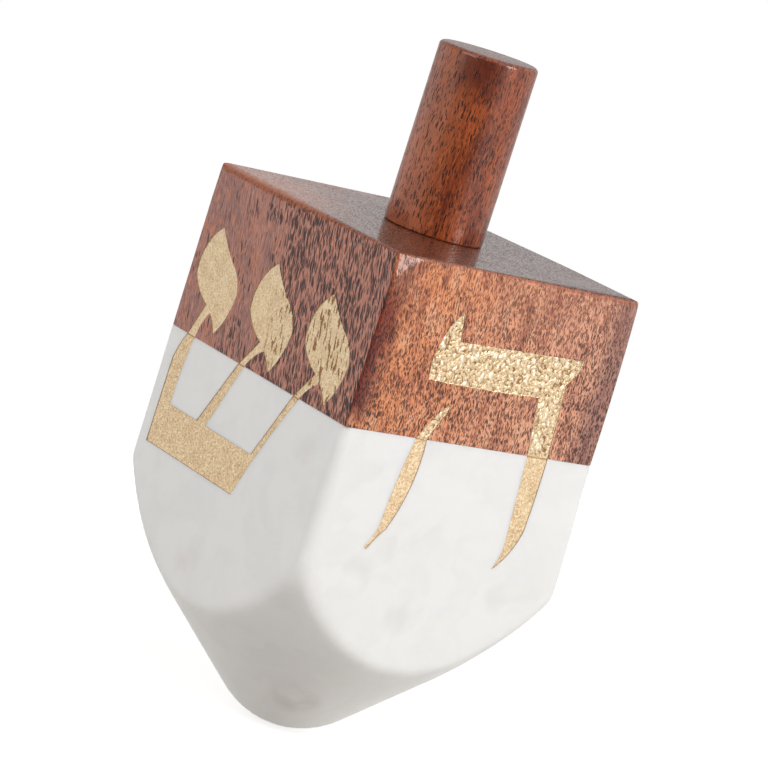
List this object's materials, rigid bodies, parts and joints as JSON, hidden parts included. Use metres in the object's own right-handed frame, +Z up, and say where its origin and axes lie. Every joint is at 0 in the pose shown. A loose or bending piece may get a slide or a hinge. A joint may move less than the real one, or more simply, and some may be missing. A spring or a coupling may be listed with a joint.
{
  "type": "dreidel",
  "caption": "Square spinning top: a round wooden stem and wooden upper block on a marble base with a blunt conical tip, and gold game letters inlaid across the seam of its sides.",
  "frame": {"origin": "the lowest point of the rounded tip, on the spin axis", "axes": "+Z up the spin axis from the tip to the stem; the shin is on the -X side, the hei on the -Y side, the gimel on the +X side and the nun on the +Y side"},
  "size_m": [0.0636, 0.0636, 0.1435],
  "materials": {
    "wood": "reddish hardwood under clear varnish",
    "marble": "white marble, honed",
    "gold": "matte gold, textured",
    "dowel_wood": "bare pale wood"
  },
  "bodies": {
    "root": {"stem": "wood", "wood_block": "wood", "marble_base": "marble", "joint_dowel": "dowel_wood", "shin_left_head_inlay": "gold", "shin_middle_head_inlay": "gold", "shin_right_head_inlay": "gold", "shin_base_inlay": "gold", "hei_roof_inlay": "gold", "hei_right_leg_inlay": "gold", "hei_left_leg_top_inlay": "gold", "hei_left_leg_inlay": "gold", "gimel_head_inlay": "gold", "gimel_foot_inlay": "gold", "nun_head_inlay": "gold", "nun_base_inlay": "gold"}
  },
  "joints": []
}
